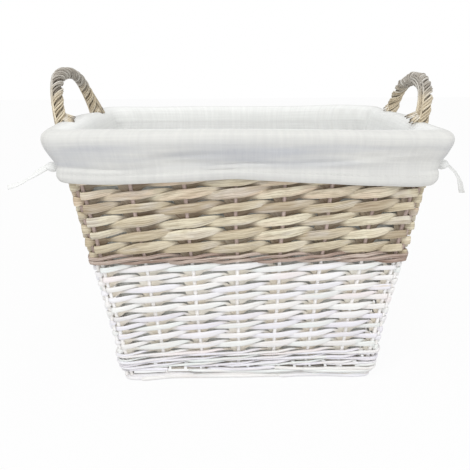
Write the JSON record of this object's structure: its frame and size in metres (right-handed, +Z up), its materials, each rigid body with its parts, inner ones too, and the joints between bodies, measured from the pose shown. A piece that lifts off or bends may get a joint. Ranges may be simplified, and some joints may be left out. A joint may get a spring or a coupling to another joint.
{
  "type": "laundry basket",
  "caption": "Tapered rectangular wicker laundry basket, painted below and natural above, with roped end handles and a removable cloth liner folded over its border.",
  "frame": {"origin": "middle of the footprint, on the floor", "axes": "+Z up, X along the long side with a handle at each end, the front towards -Y"},
  "size_m": [0.5789, 0.3688, 0.415],
  "materials": {
    "painted_willow": "thin matt white paint",
    "stake_willow": "whitewashed below, bare above",
    "natural_willow": "unvarnished",
    "wale_willow": "unvarnished",
    "handle_willow": "unvarnished",
    "liner_cotton": "plain woven cotton"
  },
  "bodies": {
    "basket": {"foot_rod_front": "painted_willow", "foot_rod_right": "painted_willow", "foot_rod_back": "painted_willow", "foot_rod_left": "painted_willow", "foot_rails_front": "painted_willow", "foot_rails_right": "painted_willow", "foot_rails_back": "painted_willow", "foot_rails_left": "painted_willow", "stakes_front": "stake_willow", "stakes_right": "stake_willow", "stakes_back": "stake_willow", "stakes_left": "stake_willow", "corner_post_front_right": "stake_willow", "corner_post_right_back": "stake_willow", "corner_post_back_left": "stake_willow", "corner_post_left_front": "stake_willow", "painted_rods_front": "painted_willow", "painted_rods_right": "painted_willow", "painted_rods_back": "painted_willow", "painted_rods_left": "painted_willow", "wale_rods_front": "wale_willow", "wale_rods_right": "wale_willow", "wale_rods_back": "wale_willow", "wale_rods_left": "wale_willow", "natural_rods_front": "natural_willow", "natural_rods_right": "natural_willow", "natural_rods_back": "natural_willow", "natural_rods_left": "natural_willow", "top_rails_front": "natural_willow", "top_rails_right": "natural_willow", "top_rails_back": "natural_willow", "top_rails_left": "natural_willow", "border_front": "natural_willow", "border_right": "natural_willow", "border_back": "natural_willow", "border_left": "natural_willow", "base_sticks": "painted_willow", "base_weave": "painted_willow", "handle_core_right": "handle_willow", "handle_wrap_right": "handle_willow", "handle_core_left": "handle_willow", "handle_wrap_left": "handle_willow"},
    "liner": {"bag_front": "liner_cotton", "bag_right": "liner_cotton", "bag_back": "liner_cotton", "bag_left": "liner_cotton", "bag_bottom": "liner_cotton", "cuff": "liner_cotton", "knot_left": "liner_cotton", "knot_right": "liner_cotton", "tie_left": "liner_cotton", "tie_right": "liner_cotton"}
  },
  "joints": [
    {"name": "liner_lift", "type": "slide", "parent": "basket", "child": "liner", "axis": [0, 0, 1], "range_m": [0, 0.4], "deforming": ["cuff"]}
  ]
}
